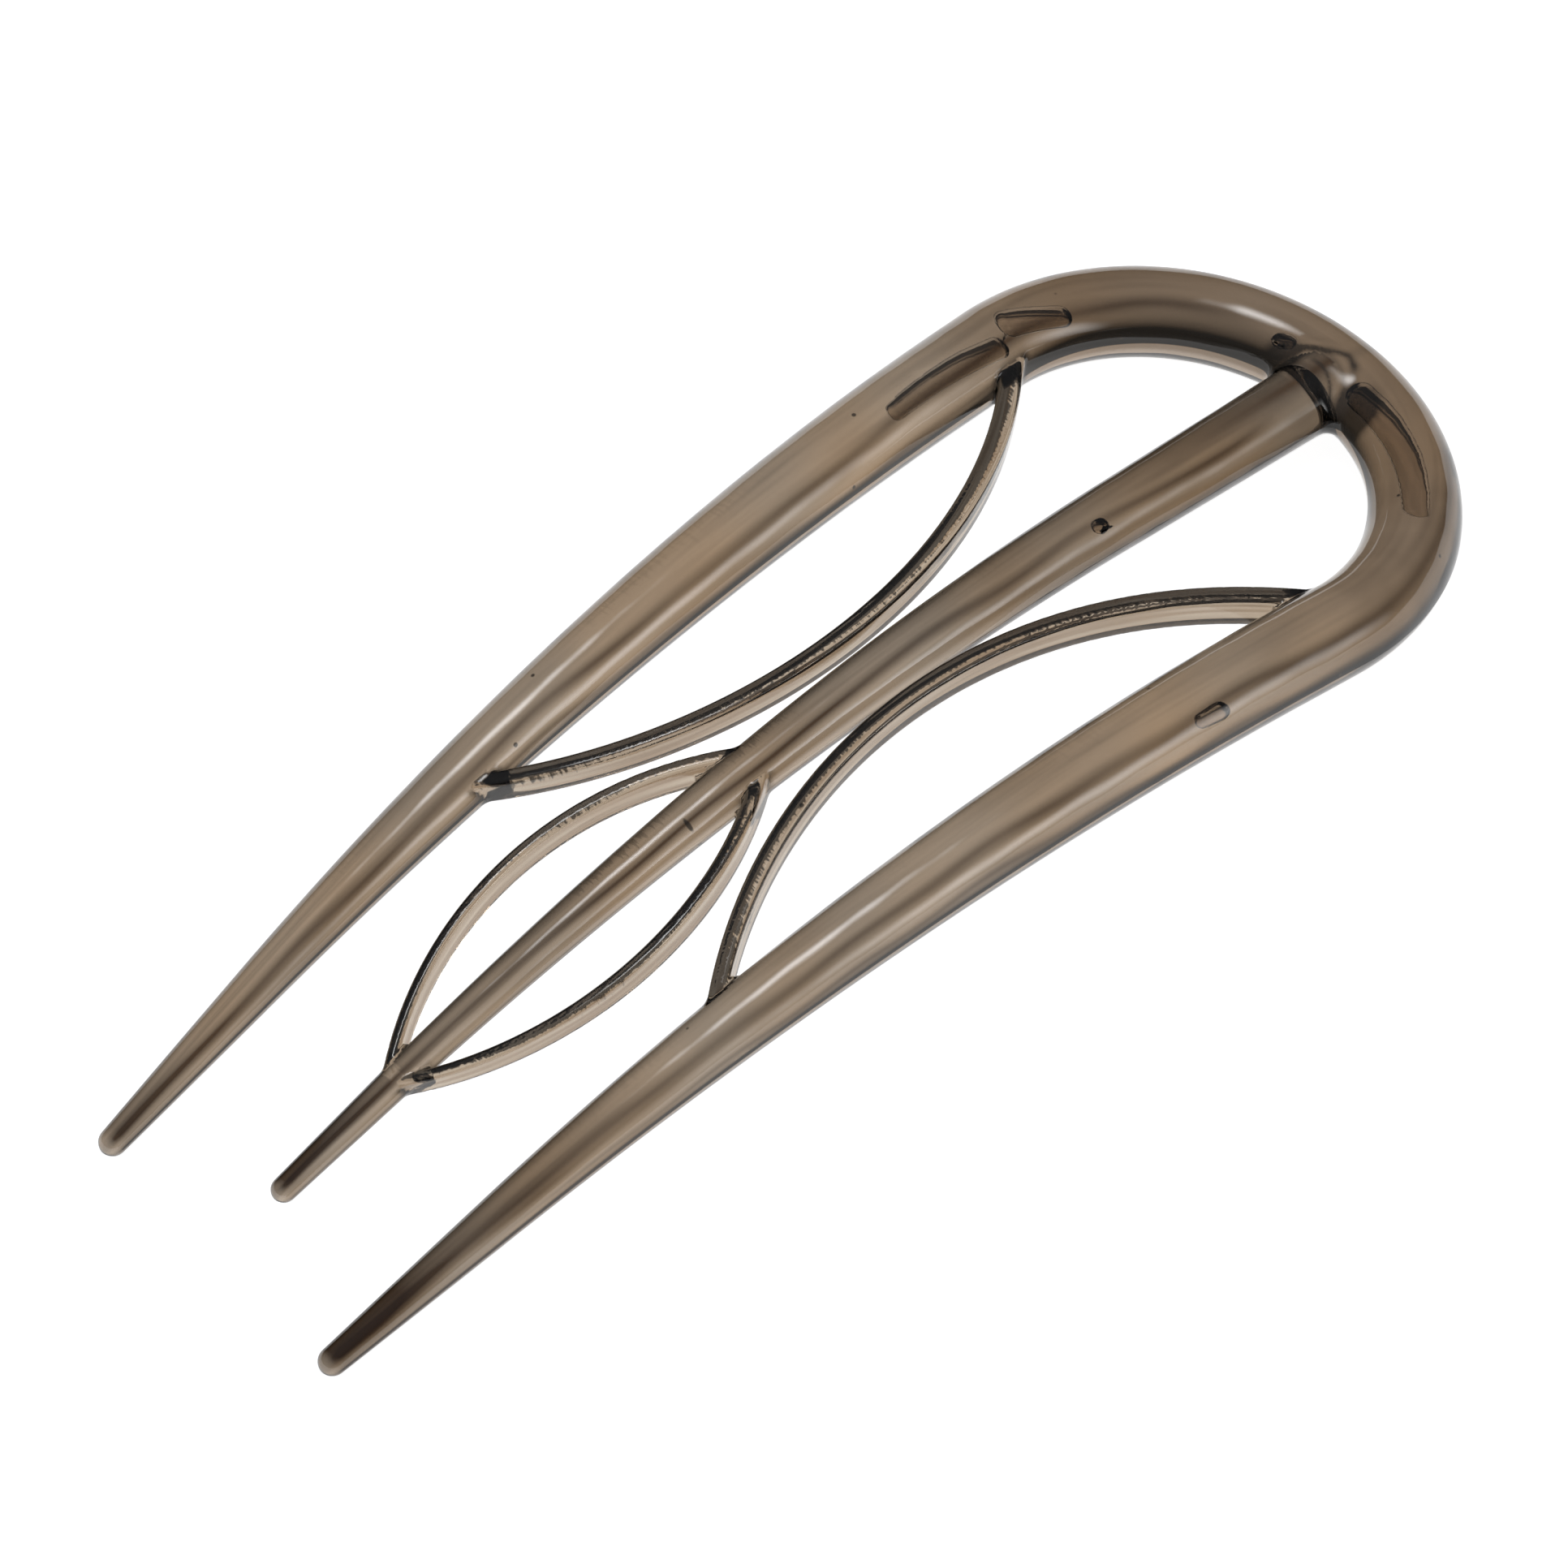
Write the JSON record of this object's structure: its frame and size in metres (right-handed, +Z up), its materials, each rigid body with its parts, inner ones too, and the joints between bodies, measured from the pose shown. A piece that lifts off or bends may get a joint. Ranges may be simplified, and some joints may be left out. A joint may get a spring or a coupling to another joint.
{
  "type": "u-shaped hair pin",
  "caption": "U-shaped hair pin moulded in one piece of smoky translucent plastic, with a centre prong and slim curved grip bars inside the U.",
  "frame": {"origin": "centre of the underside of the bounding box, midway between the tips and the bow, at the level the pin rests on", "axes": "+Y from the tips towards the bow, +Z up out of the convex side of the arch, X across the prongs"},
  "size_m": [0.044, 0.1148, 0.0134],
  "materials": {
    "smoky_plastic": "glossy smoky brown-grey translucent plastic, smooth, with a fine mould line along its mid-height"
  },
  "bodies": {
    "root": {"hair_pin": "smoky_plastic"}
  },
  "joints": []
}
